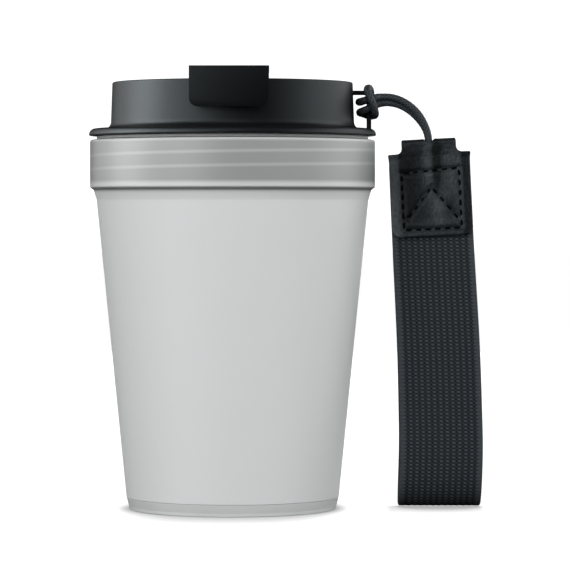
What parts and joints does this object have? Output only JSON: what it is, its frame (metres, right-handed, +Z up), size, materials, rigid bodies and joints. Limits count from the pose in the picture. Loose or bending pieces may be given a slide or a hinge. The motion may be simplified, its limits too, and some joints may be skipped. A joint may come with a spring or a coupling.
{
  "type": "insulated travel cup",
  "caption": "Double-wall tapered travel cup with a screw lid, a flip-up drinking closure and a webbing wrist strap hung from a corded eye.",
  "frame": {"origin": "centre of the flat base, on the surface that the cup stands on", "axes": "+Z up along the cup's axis, -Y towards the front with the flip tab, +X towards the eye and the wrist strap"},
  "size_m": [0.1165, 0.0848, 0.1294],
  "materials": {
    "base_cap": "frosted translucent white, slightly greyer than the wall",
    "outer_shell": "frosted translucent white, fine matte grain",
    "inner_cup": "satin natural white",
    "lid": "satin black, fine texture",
    "gasket": "soft translucent grey silicone",
    "hinge_pin": "plain steel wire",
    "lever": "satin black, fine texture",
    "plug": "matte black silicone",
    "cord": "round braided polyester, black",
    "leather": "fine-grained black synthetic leather",
    "webbing": "heavy plain-weave nylon webbing, black",
    "sewing_thread": "black bonded sewing thread"
  },
  "bodies": {
    "cup": {"base_cap": "base_cap", "outer_shell": "outer_shell", "inner_cup": "inner_cup"},
    "seal": {"lid_gasket": "gasket"},
    "lid": {"lid_body": "lid", "hinge_pin": "hinge_pin"},
    "lever": {"flip_lever": "lever", "spout_plug": "plug", "vent_plug": "plug"},
    "knot": {"cord_hitch": "cord"},
    "strap": {"cord_upper_strand": "cord", "cord_lower_strand": "cord", "cord_end_knot": "cord", "leather_patch": "leather", "webbing_loop": "webbing", "needle_thread": "sewing_thread", "bobbin_thread": "sewing_thread"}
  },
  "joints": [
    {"name": "lid_rise", "type": "slide", "parent": "cup", "child": "seal", "axis": [0, 0, 1], "range_m": [0, 0.0131]},
    {"name": "lid_turn", "type": "hinge", "parent": "seal", "child": "lid", "pos_m": [0, 0, 0.11], "axis": [0, 0, 1], "range_deg": [0, 1170]},
    {"name": "lever_flip", "type": "hinge", "parent": "lid", "child": "lever", "pos_m": [0, 0.006, 0.1253], "axis": [-1, 0, 0], "range_deg": [0, 130]},
    {"name": "strap_swing", "type": "hinge", "parent": "lid", "child": "knot", "pos_m": [0.0403, 0, 0.119], "axis": [0, 0, 1], "range_deg": [-30, 30]},
    {"name": "strap_lift", "type": "hinge", "parent": "knot", "child": "strap", "pos_m": [0.0438, 0, 0.1205], "axis": [0, -1, 0], "range_deg": [0, 140], "deforming": ["cord_upper_strand", "cord_lower_strand"]}
  ],
  "couplings": [
    {"joint": "lid_rise", "follows": "lid_turn", "m_per_rad": 0.00063662}
  ]
}
